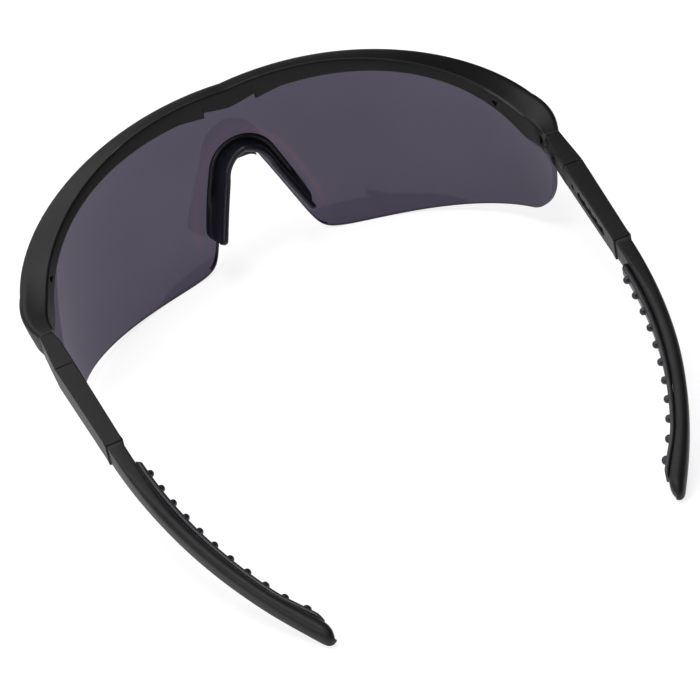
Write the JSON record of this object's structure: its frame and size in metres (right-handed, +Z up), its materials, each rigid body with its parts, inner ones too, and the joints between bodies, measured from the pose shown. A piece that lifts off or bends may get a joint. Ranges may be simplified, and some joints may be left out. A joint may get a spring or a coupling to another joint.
{
  "type": "safety glasses",
  "caption": "Wraparound safety glasses with a one-piece smoke lens, soft nosepiece, and folding, tilting and sliding temples with grip pads.",
  "frame": {"origin": "centre of the bounding box's base, on the surface the glasses rest on: the lens's two lobes and the temples' tips stand on it", "axes": "+X towards the wearer's left, +Y from the lens back along the temples, +Z up"},
  "size_m": [0.1474, 0.1732, 0.0501],
  "materials": {
    "frame": "charcoal moulded nylon, softly satin",
    "lens": "smoke polycarbonate, polished",
    "nosepiece": "soft moulded elastomer, matte",
    "grips": "soft moulded elastomer, matte",
    "steel": "plain small hardware"
  },
  "bodies": {
    "front": {"front_frame": "frame", "lens": "lens", "nosepiece": "nosepiece", "left_hinge_screw": "steel", "right_hinge_screw": "steel"},
    "left_hinge": {"left_hinge_block": "frame"},
    "left_temple": {"left_sleeve": "frame", "left_tilt_pin": "steel"},
    "left_extension": {"left_arm": "frame", "left_grip_pad": "grips"},
    "right_hinge": {"right_hinge_block": "frame"},
    "right_temple": {"right_sleeve": "frame", "right_tilt_pin": "steel"},
    "right_extension": {"right_arm": "frame", "right_grip_pad": "grips"}
  },
  "joints": [
    {"name": "left_fold", "type": "hinge", "parent": "front", "child": "left_hinge", "pos_m": [0.0695, -0.03743, 0.02669], "axis": [0, 0.1527, 0.9883], "range_deg": [0, 88]},
    {"name": "left_tilt", "type": "hinge", "parent": "left_hinge", "child": "left_temple", "pos_m": [0.06964, -0.01779, 0.02365], "axis": [0.9992, 0.0405, -0.0063], "range_deg": [-8, 8]},
    {"name": "left_extend", "type": "slide", "parent": "left_temple", "child": "left_extension", "axis": [0.041, -0.9874, 0.1526], "range_m": [-0.0144, 0]},
    {"name": "right_fold", "type": "hinge", "parent": "front", "child": "right_hinge", "pos_m": [-0.0695, -0.03743, 0.02669], "axis": [0, -0.1527, -0.9883], "range_deg": [0, 75]},
    {"name": "right_tilt", "type": "hinge", "parent": "right_hinge", "child": "right_temple", "pos_m": [-0.06964, -0.01779, 0.02365], "axis": [0.9992, -0.0405, 0.0063], "range_deg": [-8, 8]},
    {"name": "right_extend", "type": "slide", "parent": "right_temple", "child": "right_extension", "axis": [-0.041, -0.9874, 0.1526], "range_m": [-0.0144, 0]}
  ]
}
